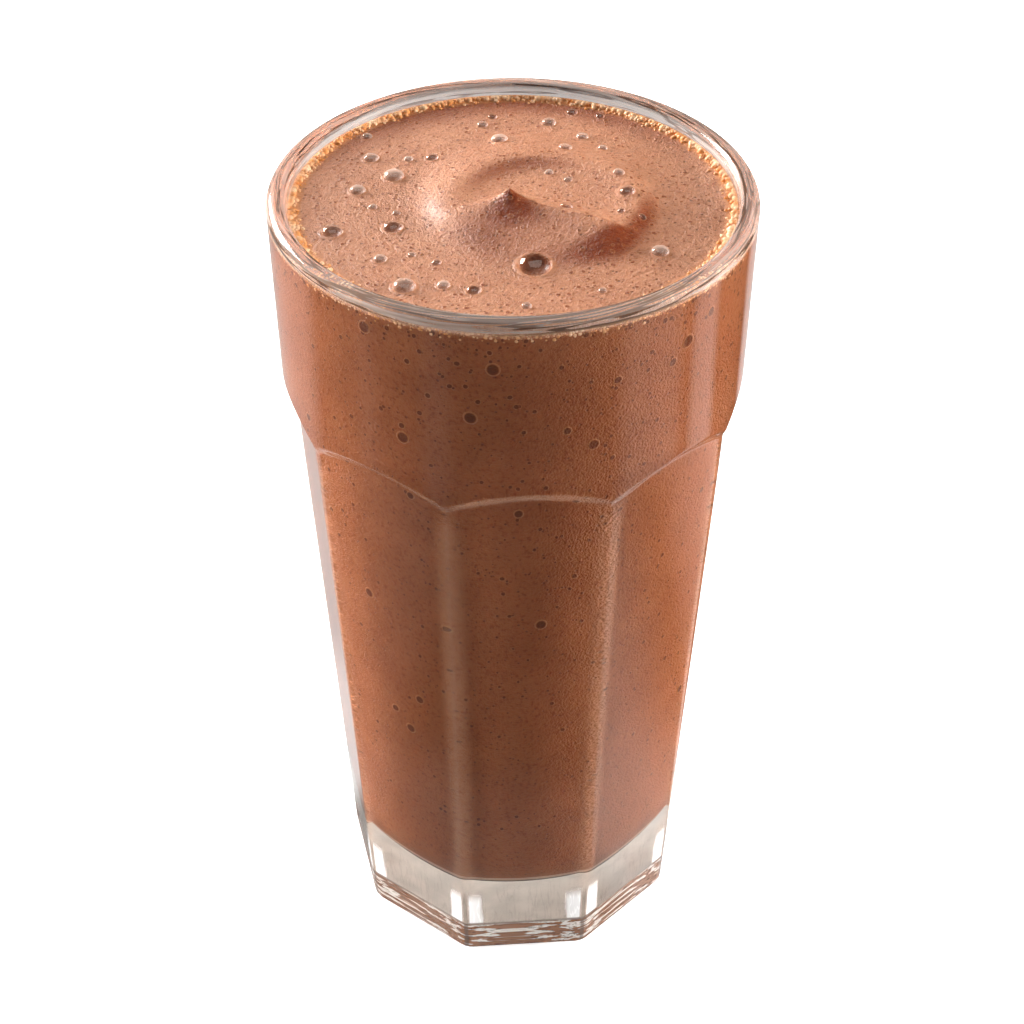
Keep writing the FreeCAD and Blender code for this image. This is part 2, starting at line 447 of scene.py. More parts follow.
def makeClearGlass():
    finish = Finish("clearGlass")
    level = finish.axes(finish.place())[2]
    glass = finish.node("ShaderNodeBsdfPrincipled", None, {
        "Base Color": (0.99, 0.995, 0.99, 1),
        "Roughness": 0.0,
        "IOR": 1.5,
        "Transmission Weight": 1.0,
        "Normal": finish.bump(finish.noise(finish.place(), 0.05, 1.0, 0.4), 0.25 * mm, 0.3),
    })
    streak = finish.noise(finish.attribute("circles", "Vector"), 1.2, 2.0, 0.5)
    upright = finish.noise(finish.place((1.1, 1.1, 0.1)), 1.0, 2.0, 0.5)
    atRim, rimColour, rimShare = paintRimReflections(finish, streak)
    footColour, footShare = paintFoot(finish, streak)
    aboveFoot = finish.step(8, 9, level)
    fromCorner = finish.attribute("fromCorner")
    # painted reflections: pale and dark upright streaks low on the walls
    atLow = 0.5 * finish.step(24, 16, level) * aboveFoot
    lowDark = finish.between(0.54, 0.56, 0.04, upright)
    facets = aboveFoot * finish.step(valleyHeight + 1, valleyHeight - 5, level)
    # painted light: pale bands on the steep arch shoulders and along the facet corners
    glow = finish.clamp(finish.attribute("arch") + finish.step(5.0, 0.2, fromCorner) * facets * 0.55)
    low = finish.step(20, 15, level)
    # painted highlight: white bars beside the corners low down; painted dark lines at the corners and along
    # the top of the foot
    bar = low * aboveFoot * finish.step(6.6, 4.8, fromCorner + 3 * upright - 1.5)
    bar = bar * finish.step(0.9, 1.5, fromCorner)
    frame = finish.step(1.0, 0.5, fromCorner) * low + finish.between(8.1, 8.5, 0.4, level)
    frame = finish.clamp(frame) * 0.8
    colour = finish.mix(aboveFoot, footColour, (0.78, 0.43, 0.26, 1))
    streaks = finish.mix(lowDark, (0.8, 0.76, 0.72, 1), (0.10, 0.06, 0.045, 1))
    colour = finish.mix(atLow, colour, streaks)
    colour = finish.mix(bar, colour, (1, 1, 1, 1))
    colour = finish.mix(frame, colour, (0.12, 0.085, 0.07, 1))
    # painted light: the veil lays these reflections, highlights and lines over the clear glass
    paintedLightVeil = finish.node("ShaderNodeBsdfPrincipled", None, {
        "Base Color": finish.mix(atRim, colour, rimColour),
        "Roughness": 0.08,
    })
    share = atRim * rimShare + finish.step(8.7, 7.9, level) * footShare + bar * 0.6 + frame * 0.4
    share = share + atLow * (0.05 + 0.25 * lowDark) + glow * 0.22
    return finish.surface(letLampsThrough(finish, finish.blend(finish.clamp(share), glass, paintedLightVeil)))


def makeStippledGlass():
    finish = Finish("stippledGlass")
    spot = finish.place()
    dots = finish.cells(spot, 0.9)
    cloud = finish.noise(spot, 0.16, 3.0)
    rough = finish.node("ShaderNodeBsdfPrincipled", None, {
        "Base Color": (0.985, 0.992, 0.988, 1),
        "Roughness": 0.08 + 0.12 * cloud,
        "IOR": 1.5,
        "Transmission Weight": 1.0,
        "Normal": finish.bump(dots, 0.1 * mm, 0.3),
    })
    white = finish.node("ShaderNodeBsdfDiffuse", None, {"Color": (0.60, 0.54, 0.47, 1)})
    frosted = finish.blend(0.78 + 0.2 * finish.step(0.3, 0.7, cloud), rough, white)
    return finish.surface(letLampsThrough(finish, frosted))


glassPiece = makeGlassShape()
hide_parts("glass")
print("glass made:", len(glassPiece.data.polygons), "faces")


shake = {
    "fillGap": 2.7,          # rim down to the drink, at the glass
    "intoWall": 0.05,        # how far the drink reaches into the wall, so that no gap shows
    "moundHeight": 1.4,
    "moundRadius": 19.0,
    "moundEdge": 3.4,
    "moundEdgeChange": 1.3,
    "moundEdgeAzimuth": -20.0,
    "moundCentre": (4.0, 0.8),
    "ringHeight": 0.95,
    "ringChange": 0.25,
    "ringRadius": 15.2,
    "ringWidth": 3.6,
    "ringCentre": (5.0, -3.0),
    "ringGapAzimuth": -115.0,
    "ringGapWidth": 55.0,
    "ridgeHeight": 1.6,
    "ridgeBack": 2.4,
    "ridgeFront": 7.0,
    "ridgeLeft": 7.1,
    "ridgeRight": 16.4,
    "ridgeEnd": 3.0,
    "ridgeBend": 1.2,
    "ridgeSlantLeft": 0.3,
    "ridgeSlantRight": 0.5,
    "peakHeight": 2.0,
    "peakWidth": 1.9,
    "skirtHeight": 0.4,
    "skirtWidth": 4.5,
    "peakPlace": (-0.9, -4.8),
    "meniscus": 0.45,        # how far the froth climbs the glass
    "gridSteps": 260,
    "topShade": (0.57, 0.252, 0.135, 1),
    "sideShade": (0.385, 0.125, 0.048, 1),
    "paintedPitShade": (0.27, 0.066, 0.02, 1),
    "lipShade": (0.66, 0.29, 0.13, 1),
}
fillHeight = tumbler["height"] - shake["fillGap"]
contactRadius = innerRadius(fillHeight) + shake["intoWall"]


def fade(value, middle, width):
    return 0.5 - 0.5 * np.tanh((value - middle) / width)


def fromMiddle(x, y, middle):  # distance and azimuth
    return np.hypot(x - middle[0], y - middle[1]), np.arctan2(y - middle[1], x - middle[0])


def moundRelief(x, y):
    distance, azimuth = fromMiddle(x, y, shake["moundCentre"])
    turned = azimuth - math.radians(shake["moundEdgeAzimuth"])
    edge = shake["moundEdge"] - shake["moundEdgeChange"] * np.cos(2 * turned)
    return shake["moundHeight"] * fade(distance, shake["moundRadius"], edge)


def ringRelief(x, y):
    distance, azimuth = fromMiddle(x, y, shake["ringCentre"])
    fromGap = (azimuth - math.radians(shake["ringGapAzimuth"]) + math.pi) % (2 * math.pi) - math.pi
    share = 1 - np.exp(-(fromGap / math.radians(shake["ringGapWidth"])) ** 2)
    across = (distance - shake["ringRadius"]) / shake["ringWidth"]
    return (shake["ringHeight"] - shake["ringChange"] * np.cos(azimuth)) * share * np.exp(-across ** 2)


def ridgeRelief(x, y):
    along = x - shake["peakPlace"][0]
    slant = np.where(along > 0, shake["ridgeSlantRight"], shake["ridgeSlantLeft"])
    crest = shake["peakPlace"][1] + shake["ridgeBend"] - np.hypot(shake["ridgeBend"], slant * along)
    width = np.where(y > crest, shake["ridgeBack"], shake["ridgeFront"])
    leftEnd = 1 - fade(along, -shake["ridgeLeft"], shake["ridgeEnd"])
    ends = leftEnd * fade(along, shake["ridgeRight"], shake["ridgeEnd"])
    return shake["ridgeHeight"] * np.exp(-(np.abs(y - crest) / width) ** 1.5) * ends


def peakRelief(x, y):
    distance = fromMiddle(x, y, shake["peakPlace"])[0]
    swell = shake["skirtHeight"] * np.exp(-(distance / shake["skirtWidth"]) ** 2)
    return shake["peakHeight"] * np.exp(-distance / shake["peakWidth"]) + swell


def relief(x, y):  # height of the drink's surface over its level at the glass
    edgeFlat = fade(np.hypot(x, y), innerTopRadius - shake["moundEdge"], shake["moundEdge"] / 2)
    return (moundRelief(x, y) + ringRelief(x, y) + ridgeRelief(x, y) + peakRelief(x, y)) * edgeFlat


def climb(x, y):  # the froth's edge creeps up the glass
    return shake["meniscus"] * np.exp((np.hypot(x, y) - contactRadius) / 0.6)


def topNormals(x, y):
    step = 0.1
    slopeX = (relief(x + step, y) - relief(x - step, y)) / (2 * step)
    slopeY = (relief(x, y + step) - relief(x, y - step)) / (2 * step)
    return np.stack([-slopeX, -slopeY, np.ones_like(slopeX)], 1)


def swirlPlace(x, y):  # a place that runs round the swirl, for streaks that follow it
    distance, azimuth = fromMiddle(x, y, shake["ringCentre"])
    turn = azimuth + 0.03 * distance
    return np.stack([distance, 6 * np.cos(turn), 6 * np.sin(turn)], 1)


def paintedFoldShade(x, y):  # painted shade: darker on slopes that fall away to the front, and a painted shadow of the rim by the back wall
    normals = topNormals(x, y)
    falling = (normals[:, 0] * 0.25 - normals[:, 1] * 0.97) / normals[:, 2]
    paintedRimShadow = smoothStep(9.5, 2.0, contactRadius - np.hypot(x, y))
    paintedRimShadow = paintedRimShadow * smoothStep(0.2, 0.85, y / contactRadius)
    return np.clip(smoothStep(0.05, 0.34, falling) + 0.85 * paintedRimShadow, 0, 1)


def shadeMarks(points, onTop, pit, lip):
    x, y = points[:, 0], points[:, 1]
    fold = paintedFoldShade(x, y) * onTop
    return {"onTop": onTop, "pit": pit, "lip": lip, "swirl": swirlPlace(x, y), "fold": fold}


def skewed(low, high, count, power=2.5):  # mostly small sizes, a few large
    return low + (high - low) * dice.random(count) ** power


bubbles = {
    "largest": (2.0, -21.0, 2.7, 0.0),  # place, radius and how milky its film is
    "count": 36,
    "radius": (0.7, 1.9),
    "fromWall": 2.4,      # least room between a bubble and the glass
    "apart": 1.8,         # least distance between two, as a share of both radii
    "swirlRadius": 17.0,  # few of them lie on the swirl in the middle
    "swirlShare": 0.15,
    "milkyShare": 0.6,
}


def scatterBubbles():  # large bubbles on top: place, radius and how milky their film is
    made = [bubbles["largest"]]
    while len(made) < bubbles["count"]:
        radius = float(skewed(*bubbles["radius"], 1, 1.6)[0])
        distance = (contactRadius - bubbles["fromWall"] - radius) * math.sqrt(dice.random())
        azimuth = dice.uniform(0, 2 * math.pi)
        x, y = distance * math.cos(azimuth), distance * math.sin(azimuth)
        onSwirl = distance < bubbles["swirlRadius"] and dice.random() > bubbles["swirlShare"]
        gaps = []
        for otherX, otherY, otherRadius, milky in made:
            gaps.append(math.hypot(x - otherX, y - otherY) - bubbles["apart"] * (radius + otherRadius))
        if onSwirl or min(gaps) < 0:
            continue
        isMilky = dice.random() < bubbles["milkyShare"]
        made.append((x, y, radius, dice.uniform(0.4, 0.9) if isMilky else dice.uniform(0, 0.2)))
    return made


topBubbles = scatterBubbles()


def dents(x, y):  # hollows that the large bubbles leave
    depth = np.zeros_like(x)
    for middleX, middleY, radius, milky in topBubbles:
        distance = np.hypot(x - middleX, y - middleY) / radius
        depth += 0.7 * radius * (1 - smoothStep(0.55, 1.12, distance))
    return depth


def discGrid(steps):  # even square grid bent into the unit disc
    side = np.linspace(-1, 1, steps + 1)
    a, b = np.meshgrid(side, side, indexing="ij")
    wide = np.abs(a) > np.abs(b)
    radius = np.where(wide, a, b)
    safe = np.where(radius == 0, 1, radius)
    angle = np.where(wide, math.pi / 4 * b / safe, math.pi / 2 - math.pi / 4 * a / safe)
    return radius * np.cos(angle), radius * np.sin(angle)


def borderOrder(steps):  # indices of the grid's border, anticlockwise
    def at(column, row):
        return column * (steps + 1) + row
    border = [at(column, 0) for column in range(steps)]
    border += [at(steps, row) for row in range(steps)]
    border += [at(column, steps) for column in range(steps, 0, -1)]
    border += [at(0, row) for row in range(steps, 0, -1)]
    return border


def makeMilkshakeShape():
    steps = shake["gridSteps"]
    gridX, gridY = discGrid(steps)
    x = gridX.ravel() * contactRadius
    y = gridY.ravel() * contactRadius
    z = fillHeight + relief(x, y) + climb(x, y) - dents(x, y)
    points = list(np.stack([x, y, z], 1))
    faces = []
    for column in range(steps):
        for row in range(steps):
            corner = column * (steps + 1) + row
            faces.append((corner, corner + steps + 1, corner + steps + 2, corner + 1))
    border = borderOrder(steps)
    borderAngle = np.arctan2(y[border], x[border])
    columns = len(border)
    profile = []
    for level in np.linspace(fillHeight - 1.5, tumbler["baseThickness"] + tumbler["heelRadius"], 16):
        profile.append((innerRadius(level), level))
    heel = tumbler["heelRadius"]
    heelStart = innerRadius(tumbler["baseThickness"] + heel)
    for quarter in np.linspace(0, math.pi / 2, 12)[1:]:
        level = tumbler["baseThickness"] + heel * (1 - math.sin(quarter))
        profile.append((heelStart - heel * (1 - math.cos(quarter)), level))
    for radius in np.linspace(heelStart - heel, 4, 4)[1:]:
        profile.append((radius, tumbler["baseThickness"]))
    sideStart = len(points)
    for radius, level in profile:
        outward = radius + shake["intoWall"]
        for angle in borderAngle:
            points.append((outward * math.cos(angle), outward * math.sin(angle), level - shake["intoWall"]))
    for column in range(columns):
        after = (column + 1) % columns
        faces.append((border[after], border[column], sideStart + column, sideStart + after))
    for face in ringFaces(len(profile), columns, sideStart):
        faces.append(face[::-1])
    centre = len(points)
    points.append((0, 0, tumbler["baseThickness"] - shake["intoWall"]))
    faces += capFaces(centre, sideStart + (len(profile) - 1) * columns, columns, True)
    onTop = np.zeros(len(points))
    onTop[:len(x)] = 1
    points = np.asarray(points)
    plain = np.zeros(len(points))
    return makePiece("milkshakeBody", points, faces, shadeMarks(points, onTop, plain, plain))


froth = {
    "rows": 6,
    "rowStep": 0.42,
    "perRow": 330,
    "radius": (0.26, 0.78),
    "wallRadius": (0.16, 0.42),
    "shade": (0.74, 0.30, 0.10, 1),
    "paleShade": (0.93, 0.60, 0.36, 1),
}


def makeShakeFinish():
    finish = Finish("chocolateMilkshake")
    spot = finish.place()
    swirl = finish.attribute("swirl", "Vector")
    onTop = finish.attribute("onTop")
    pit = finish.attribute("pit")
    lip = finish.attribute("lip")
    # the drink against the glass is darker and richer than on top: partly the wet drink, partly painted
    # shade
    base = finish.mix(onTop, shake["sideShade"], shake["topShade"])
    rich = (0.62, 0.48, 0.38, 1)  # tints that the base is multiplied by
    pale = (1.25, 1.35, 1.4, 1)
    cloud = finish.step(0.3, 0.7, finish.noise(spot, 0.1, 4.0))
    base = finish.mix(cloud * 0.3, base, rich, "MULTIPLY")
    mottle = finish.noise(spot, 1.3, 3.0, 0.65)
    base = finish.mix(finish.step(0.5, 0.72, mottle) * 0.75, base, rich, "MULTIPLY")
    base = finish.mix(finish.step(0.52, 0.3, mottle) * (0.15 + 0.4 * onTop), base, pale, "MULTIPLY")
    streak = finish.noise(swirl, 0.9, 3.0, 0.6)
    base = finish.mix(finish.step(0.5, 0.75, streak) * onTop * 0.35, base, rich, "MULTIPLY")
    # painted shade: the top is darker on slopes falling to the front and in the rim's painted shadow by the
    # back wall
    base = finish.mix(finish.attribute("fold"), base, (0.45, 0.20, 0.10, 1), "MULTIPLY")
    pores = 1 - finish.step(0.1, 0.17, finish.cells(spot, 0.62))
    base = finish.mix(pores * 0.75, base, (0.15, 0.045, 0.018, 1))
    base = finish.mix(lip * 0.4, base, shake["lipShade"])
    # painted shade in the hollows of bubbles and pores, by their pit mark
    base = finish.mix(pit, base, shake["paintedPitShade"])
    against = pit * (0.62 - 0.62 * onTop)  # painted shade: holes against the glass are darkened further
    base = finish.mix(against, base, (0.075, 0.022, 0.009, 1))
    level = finish.axes(spot)[2]
    away = finish.length(finish.place((1, 1, 0)))
    frothy = finish.step(contactRadius - 2.6, contactRadius - 1.0, away) * onTop
    base = finish.mix(frothy * 0.8, base, froth["shade"])
    base = finish.mix(finish.step(19.4, 19.0, level), base, (0.66, 0.42, 0.29, 1))  # painted highlight and shade: a bright line round the bottom, dark below it
    base = finish.mix(finish.step(18.0, 17.6, level), base, (0.09, 0.04, 0.022, 1))  # round the bottom
    grain = finish.noise(spot, 2.6, 3.0, 0.6)
    height = 0.6 * grain + 0.7 * mottle + 0.7 * streak * onTop - 0.8 * pores
    body = finish.node("ShaderNodeBsdfPrincipled", None, {
        "Base Color": base,
        "Roughness": 0.3 + 0.16 * grain,
        "IOR": 1.4,
        "Subsurface Weight": 0.12,
        "Subsurface Radius": (1.0, 0.4, 0.2),
        "Subsurface Scale": 0.5 * mm,
        "Coat Weight": onTop * (0.5 - 0.5 * finish.attribute("fold")),
        "Coat Roughness": 0.26,
        "Normal": finish.bump(height, 0.5 * mm, 0.9),
    })
    return finish.surface(body)


shakePiece = makeMilkshakeShape()
shakeFinish = makeShakeFinish()
shakePiece.data.materials.append(shakeFinish)
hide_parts("milkshake")
print("milkshake made:", len(shakePiece.data.polygons), "faces")


bowlProfile = [  # a bubble's bowl, for a radius of 1: distance, height, painted pit shade, lip shade
    (1.6, -0.10, 0.0, 0.0), (1.36, -0.01, 0.0, 0.0), (1.2, 0.05, 0.0, 0.4), (1.08, 0.09, 0.0, 0.9),
    (0.98, 0.07, 0.1, 0.8), (0.92, -0.02, 0.5, 0.2), (0.82, -0.15, 0.9, 0.0), (0.62, -0.27, 1.0, 0.0),
    (0.35, -0.34, 0.8, 0.0), (0.0, -0.37, 0.6, 0.0),
]
filmProfile = [  # the clear film over a bowl; the last mark is how milky it is
    (1.0, 0.10, 1.0), (0.97, 0.2, 1.0), (0.9, 0.32, 1.0), (0.78, 0.43, 1.0), (0.6, 0.52, 1.0),
    (0.38, 0.58, 1.0), (0.16, 0.605, 1.0), (0.0, 0.61, 1.0),
]


def topPlaces(x, y):
    return np.stack([x, y, fillHeight + relief(x, y) + climb(x, y)], 1)


def makeBubbles():
    table = np.array(topBubbles)
    places = topPlaces(table[:, 0], table[:, 1])
    normals = topNormals(table[:, 0], table[:, 1])
    points, faces, marks = stamp(bowlProfile, 28, places, normals, table[:, 2])
    # painted shade inside each bowl, fainter under a milky film
    darkness = np.repeat(0.6 - 0.5 * table[:, 3], len(points) // len(table))
    shading = shadeMarks(points, np.ones(len(points)), marks[:, 0] * darkness, marks[:, 1])
    bowls = makePiece("bubbleBowls", points, faces, shading)
    bowls.data.materials.append(shakeFinish)
    points, faces, marks = stamp(filmProfile, 28, places, normals, table[:, 2])
    milky = np.repeat(table[:, 3], len(points) // len(table))
    films = makePiece("bubbleFilms", points, faces, {"milky": milky})
    films.data.materials.append(makeFilmFinish())
    print("large bubbles made:", len(table))


def makeFilmFinish():
    finish = Finish("bubbleFilm")
    facing = finish.wire(finish.node("ShaderNodeLayerWeight", None, {"Blend": 0.4}), "Facing")
    milky = finish.attribute("milky")
    clear = finish.node("ShaderNodeBsdfTransparent")
    shine = finish.node("ShaderNodeBsdfGlossy", None, {"Color": (1, 0.85, 0.74, 1), "Roughness": 0.08})
    milk = finish.node("ShaderNodeBsdfDiffuse", None, {"Color": (0.82, 0.60, 0.48, 1)})
    film = finish.blend(0.05 + 0.4 * facing ** 2, clear, shine)
    return finish.surface(finish.blend(milky * (0.25 + 0.5 * facing), film, milk))


makeBubbles()


pores = {
    "topCount": 1500,
    "topRadius": (0.13, 0.40),
    "wallCount": 3600,
    "wallRadius": (0.10, 0.46),
    "largeCount": 80,  # larger bubbles against the glass, all the way round
    "largeRadius": (0.4, 1.05),
    "largeDepth": 98.0,
}
poreProfile = [  # a small hole whose lip stands proud of the surface
    (1.7, -0.06, 0.0, 0.0), (1.3, 0.14, 0.0, 0.8), (1.05, 0.19, 0.15, 1.0), (0.85, 0.12, 0.9, 0.1),
    (0.5, 0.09, 1.0, 0.0), (0.0, 0.08, 1.0, 0.0),
]


def clearOfBubbles(x, y):
    free = np.ones(len(x), bool)
    for middleX, middleY, radius, milky in topBubbles:
        free &= np.hypot(x - middleX, y - middleY) > radius * 1.7
    return free


def makeTopPores():
    count = pores["topCount"]
    distance = (contactRadius - 2.2) * np.sqrt(dice.random(count))
    azimuth = dice.uniform(0, 2 * math.pi, count)
    x, y = distance * np.cos(azimuth), distance * np.sin(azimuth)
    free = clearOfBubbles(x, y)
    x, y = x[free], y[free]
    sizes = skewed(*pores["topRadius"], len(x))
    points, faces, marks = stamp(poreProfile, 10, topPlaces(x, y), topNormals(x, y), sizes, 1.12)
    shading = shadeMarks(points, np.ones(len(points)), marks[:, 0], marks[:, 1])
    piece = makePiece("topPores", points, faces, shading)
    piece.data.materials.append(shakeFinish)
    print("pores on top made:", len(x))


wallPoreProfile = [  # a larger bubble flat against the glass
    (1.3, -0.04, 0.0, 0.4), (1.18, 0.1, 0.0, 1.0), (1.02, 0.14, 0.2, 1.0), (0.86, 0.12, 0.9, 0.0),
    (0.45, 0.11, 1.0, 0.0), (0.0, 0.1, 0.85, 0.0),
]
smallWallProfile = [
    (1.3, -0.04, 0.0, 0.4), (1.08, 0.13, 0.1, 1.0), (0.86, 0.12, 0.9, 0.0), (0.0, 0.1, 0.9, 0.0),
]


def wallNormals(azimuth):
    return np.stack([np.sin(azimuth), -np.cos(azimuth), np.full_like(azimuth, -cavityGrowth)], 1)


def wallPlaces(azimuth, level, outward):
    radius = innerRadius(level) + outward
    return np.stack([radius * np.sin(azimuth), -radius * np.cos(azimuth), level], 1)


def makeWallPores():
    count, largeCount = pores["wallCount"], pores["largeCount"]
    azimuth = dice.uniform(-math.pi, math.pi, largeCount + count)
    largeDepth = 1.5 + pores["largeDepth"] * dice.random(largeCount) ** 1.6
    depth = (fillHeight - 4 - 32) * dice.random(count) ** 1.8  # most of them near the top
    level = fillHeight - 1.5 - np.append(largeDepth, depth)
    largeSizes = skewed(*pores["largeRadius"], largeCount, 2.0)
    sizes = np.append(largeSizes, skewed(*pores["wallRadius"], count, 3.0))
    places = wallPlaces(azimuth, level, shake["intoWall"] + 0.01)
    normals = wallNormals(azimuth)
    points, faces, marks = stamp(
        wallPoreProfile, 16, places[:largeCount], normals[:largeCount], sizes[:largeCount], 1.06)
    morePoints, moreFaces, moreMarks = stamp(  # the small ones have fewer faces each
        smallWallProfile, 10, places[largeCount:], normals[largeCount:], sizes[largeCount:], 1.06)
    faces += [tuple(len(points) + corner for corner in face) for face in moreFaces]
    points, marks = np.concatenate([points, morePoints]), np.concatenate([marks, moreMarks])
    shading = shadeMarks(points, np.zeros(len(points)), marks[:, 0], marks[:, 1])
    piece = makePiece("wallPores", points, faces, shading)
    piece.data.materials.append(shakeFinish)
    print("pores on the wall made:", len(level))


makeTopPores()
makeWallPores()


domeProfile = [(1.0, -0.1), (0.98, 0.25), (0.85, 0.55), (0.6, 0.8), (0.3, 0.94), (0.0, 1.0)]


def makeFroth():
    places, sizes = [], []
    for row in range(froth["rows"]):
        count = froth["perRow"] - 40 * row
        azimuth = (np.arange(count) + dice.uniform(-0.4, 0.4, count)) / count * 2 * math.pi
        size = skewed(*froth["radius"], count, 1.6) * (1 - 0.12 * row)
        inward = 0.25 + row * froth["rowStep"] + dice.uniform(-0.25, 0.25, count)
        keep = dice.random(count) < 1 - 0.16 * row
        radius = contactRadius - np.maximum(inward, size * 0.9)
        x, y = radius * np.cos(azimuth), radius * np.sin(azimuth)
        lift = topPlaces(x, y) + np.stack([x * 0, x * 0, 0.05 - 0.25 * size], 1)
        places.append(lift[keep])
        sizes.append(size[keep])
    onTop = np.concatenate(places)
    normals = np.stack([-0.012 * onTop[:, 0], -0.012 * onTop[:, 1], np.ones(len(onTop))], 1)
    for row, count in ((0.8, 420), (1.3, 360), (1.9, 120)):  # and the same froth flat against the glass
        azimuth = (np.arange(count) + dice.uniform(-0.4, 0.4, count)) / count * 2 * math.pi
        size = skewed(*froth["wallRadius"], count, 1.6)
        places.append(wallPlaces(azimuth, fillHeight - row + dice.uniform(-0.2, 0.2, count), -0.5 * size))
        normals = np.concatenate([normals, wallNormals(azimuth)])
        sizes.append(size)
    places, sizes = np.concatenate(places), np.concatenate(sizes)
    points, faces, marks = stamp(domeProfile, 10, places, normals, sizes)
    piece = makePiece("frothRing", points, faces)
    piece.data.materials.append(makeFrothFinish())
    print("froth made:", len(places), "bubbles")


def makeFrothFinish():
    finish = Finish("frothBubbles")
    spot = finish.place()
    tint = finish.step(0.35, 0.7, finish.noise(spot, 0.5, 2.0))
    base = finish.mix(tint, froth["shade"], froth["paleShade"])
    skin = finish.node("ShaderNodeBsdfPrincipled", None, {
        "Base Color": base,
        "Roughness": 0.12 + 0.1 * tint,
        "IOR": 1.4,
        "Subsurface Weight": 0.05,
        "Subsurface Radius": (1.0, 0.5, 0.25),
        "Subsurface Scale": 0.2 * mm,
    })
    return finish.surface(skin)


makeFroth()


studio = {
    "floorSize": 3.0,
    "floorShade": (0.86, 0.855, 0.85, 1),
    "floorGlow": 0.70,
    "nearMirror": 0.2,
    "bandStrength": 4.0,
    "throughFoot": 0.40,
    "throughNear": 0.07,
    "throughFar": 0.55,
    "domeSeen": 0.93,
    "domeThrough": 0.3,
    "worldStrength": 0.05,
    "lampDistance": 0.9,
    "cameraDistance": 283.7,
    "cameraHeight": 318.6,
    "cameraPitch": 39.0,
    "cameraAzimuth": 4.09,
    "cameraShift": (-0.001, -0.0033),
    "lens": 68.17,
}


def makeFloor():
    half = studio["floorSize"] / 2
    mesh = bpy.data.meshes.new("studioFloor")
    corners = [(-half, -half, 0), (half, -half, 0), (half, half, 0), (-half, half, 0)]
    mesh.from_pydata(corners, [], [(0, 1, 2, 3)])
    floor = bpy.data.objects.new("studioFloor", mesh)
    floor.location.z = -0.0002
    bpy.context.scene.collection.objects.link(floor)
    finish = Finish("paleFloor")
    plain = finish.node("ShaderNodeBsdfPrincipled", None, {
        "Base Color": studio["floorShade"],
        "Roughness": 0.9,
        "Specular IOR Level": 0.1,
        "Emission Color": (1, 1, 1, 1),
        "Emission Strength": studio["floorGlow"],
    })
    mesh.materials.append(finish.surface(plain))
    floor.visible_glossy = False  # underlays stand in for the floor in reflections and through glass
    floor.visible_transmission = False


def addUnderlay(name, level):  # a wide disc on the floor that only some rays meet; returns its finish
    turn = np.arange(64) / 64 * 2 * math.pi
    mesh = bpy.data.meshes.new(name)
    reach = studio["floorSize"] / 2
    points = [(reach * math.cos(angle), reach * math.sin(angle), level) for angle in turn]
    mesh.from_pydata(points, [], [tuple(range(64))])
    disc = bpy.data.objects.new(name, mesh)
    bpy.context.scene.collection.objects.link(disc)
    disc.visible_camera = False
    disc.visible_diffuse = False
    disc.visible_shadow = False
    return disc, Finish(name)


def makeSeenThroughGlass():  # painted shadow: dim under the foot, brighter further out
    disc, finish = addUnderlay("seenThroughGlass", -0.0003)
    disc.visible_glossy = False
    away = finish.length(finish.place())
    low, middle, high = studio["throughFoot"], studio["throughNear"], studio["throughFar"]
    nearFoot = (low, low * 0.93, low * 0.86, 1)
    glow = finish.mix(finish.step(34, 80, away), nearFoot, (middle, middle, middle, 1))
    glow = finish.mix(finish.step(150, 260, away), glow, (high, high, high, 1))
    disc.data.materials.append(finish.surface(finish.node("ShaderNodeEmission", None, {"Color": glow})))


# soft bands of light that the glass mirrors: azimuth from the front, half width, soft edge, strength
mirrorBands = [
    (60, 15, 7, 0.6), (92, 8, 4, 1.1), (153, 20, 4, 0.8), (-135, 28, 8, 0.65), (-38, 6, 5, 0.2),
    (-72, 5, 4, 0.15),
]


def makeMirroredBands():
    disc, finish = addUnderlay("mirroredBands", 0.0004)
    disc.visible_transmission = False
    x, y = finish.axes(finish.place())[:2]
    away = finish.length(finish.place())
    azimuth = finish.maths("ARCTAN2", x, 0 - y) * (180 / math.pi)
    total = finish.step(84, 62, away) * studio["nearMirror"]
    for middle, half, soft, strength in mirrorBands:
        offset = finish.maths("ABSOLUTE", azimuth - middle)
        total = total + finish.step(half + soft, half - soft, offset) * strength
    faded = total * finish.step(700, 150, away)
    shade = finish.mix(faded / studio["bandStrength"], (0, 0, 0, 1), (1, 1, 1, 1))
    glow = finish.node("ShaderNodeEmission", None, {"Color": shade, "Strength": studio["bandStrength"]})
    disc.data.materials.append(finish.surface(glow))


def makeDome(name, share, strength):  # a pale dome round everything, as a share of the floor's size
    rings, columns, reach = 12, 48, studio["floorSize"] / 2 * share
    points = []
    for rise in np.linspace(0, math.pi / 2 * 0.96, rings):
        for turn in np.arange(columns) / columns * 2 * math.pi:
            points.append((reach * math.cos(rise) * math.cos(turn), reach * math.cos(rise) * math.sin(turn),
                           reach * math.sin(rise)))
    faces = ringFaces(rings, columns)
    faces += capFaces(len(points), (rings - 1) * columns, columns, False)
    points.append((0, 0, reach))
    mesh = bpy.data.meshes.new(name)
    mesh.from_pydata(points, [], faces)
    dome = bpy.data.objects.new(name, mesh)
    bpy.context.scene.collection.objects.link(dome)
    finish = Finish(name)
    mesh.materials.append(finish.surface(finish.node("ShaderNodeEmission", None, {"Strength": strength})))
    dome.visible_diffuse = False
    dome.visible_glossy = False
    dome.visible_shadow = False
    return dome


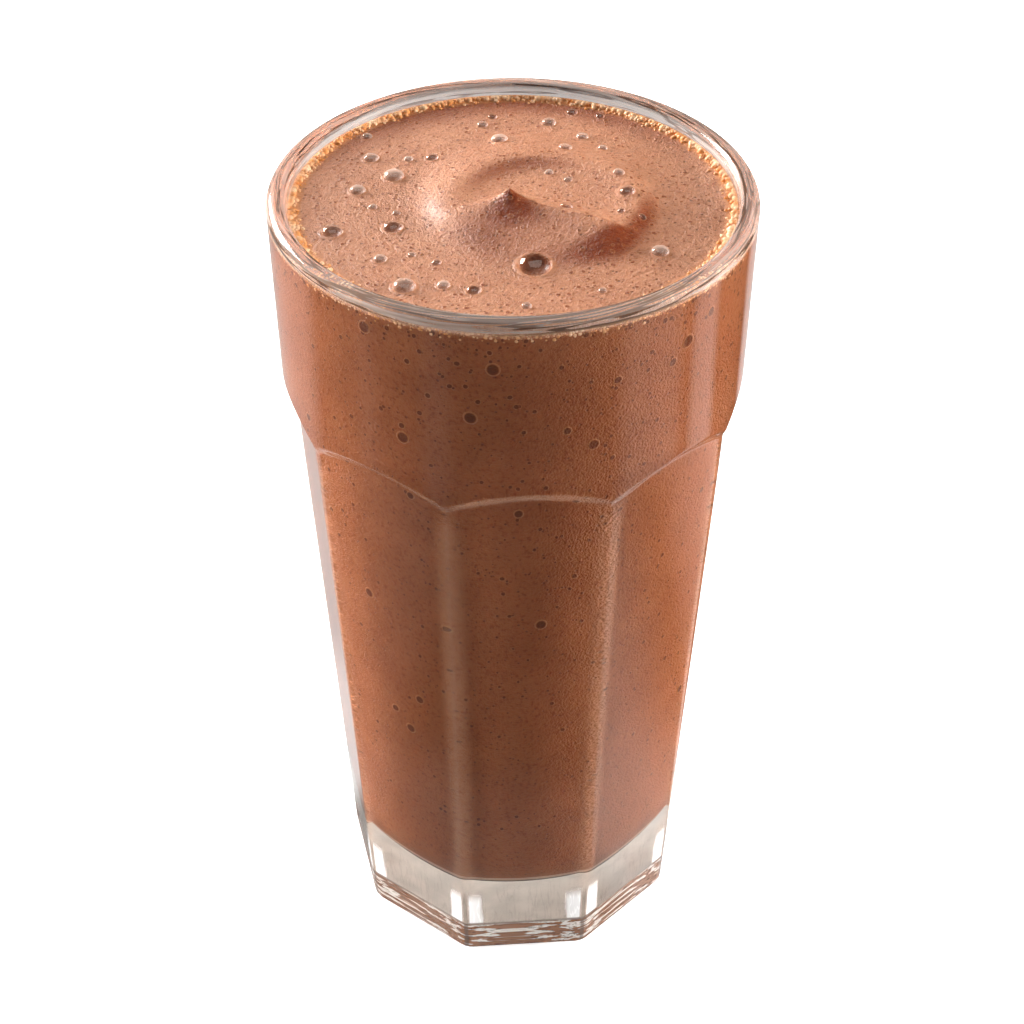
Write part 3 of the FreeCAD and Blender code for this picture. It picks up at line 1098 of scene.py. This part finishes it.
def addLamp(name, azimuth, elevation, size, power, mirrored=True):  # azimuth in degrees from the front
    target = Vector((0, 0, 0.13))
    turn, rise = math.radians(azimuth), math.radians(elevation)
    away = Vector((math.sin(turn) * math.cos(rise), -math.cos(turn) * math.cos(rise), math.sin(rise)))
    lamp = bpy.data.lights.new(name, "AREA")
    lamp.shape = "RECTANGLE"
    lamp.size, lamp.size_y = size
    lamp.energy = power
    holder = bpy.data.objects.new(name, lamp)
    holder.location = target + away * studio["lampDistance"]
    holder.rotation_euler = (-away).to_track_quat("-Z", "Y").to_euler()
    holder.visible_camera = False
    holder.visible_glossy = mirrored
    bpy.context.scene.collection.objects.link(holder)


def makeStudio():
    makeFloor()
    makeSeenThroughGlass()
    makeMirroredBands()
    makeDome("backdrop", 0.99, studio["domeSeen"]).visible_transmission = False
    makeDome("backdropThroughGlass", 0.98, studio["domeThrough"]).visible_camera = False
    addLamp("keyLamp", -138, 24, (0.42, 0.42), 14.0)
    addLamp("sideLamp", 93, 9, (0.5, 0.4), 23.0, False)
    addLamp("edgeLamp", -114, 6, (0.4, 0.4), 23.0, False)
    addLamp("topLamp", 180, 84, (0.7, 0.7), 2.4)
    world = bpy.data.worlds.new("paleRoom")
    world.use_nodes = True
    world.node_tree.nodes["Background"].inputs["Color"].default_value = (1, 1, 1, 1)
    world.node_tree.nodes["Background"].inputs["Strength"].default_value = studio["worldStrength"]
    bpy.context.scene.world = world
    bpy.context.scene.view_settings.view_transform = "Standard"


def makeCamera():
    camera = bpy.data.cameras.new("camera")
    camera.lens = studio["lens"]
    camera.sensor_width = 36.0
    camera.shift_x, camera.shift_y = studio["cameraShift"]
    camera.clip_start = 0.02
    holder = bpy.data.objects.new("camera", camera)
    azimuth = math.radians(studio["cameraAzimuth"])
    away = studio["cameraDistance"] * mm
    holder.location = (-away * math.sin(azimuth), -away * math.cos(azimuth), studio["cameraHeight"] * mm)
    holder.rotation_euler = (math.radians(90 - studio["cameraPitch"]), 0, -azimuth)
    bpy.context.scene.collection.objects.link(holder)
    bpy.context.scene.camera = holder


makeStudio()
makeCamera()
print("studio made")
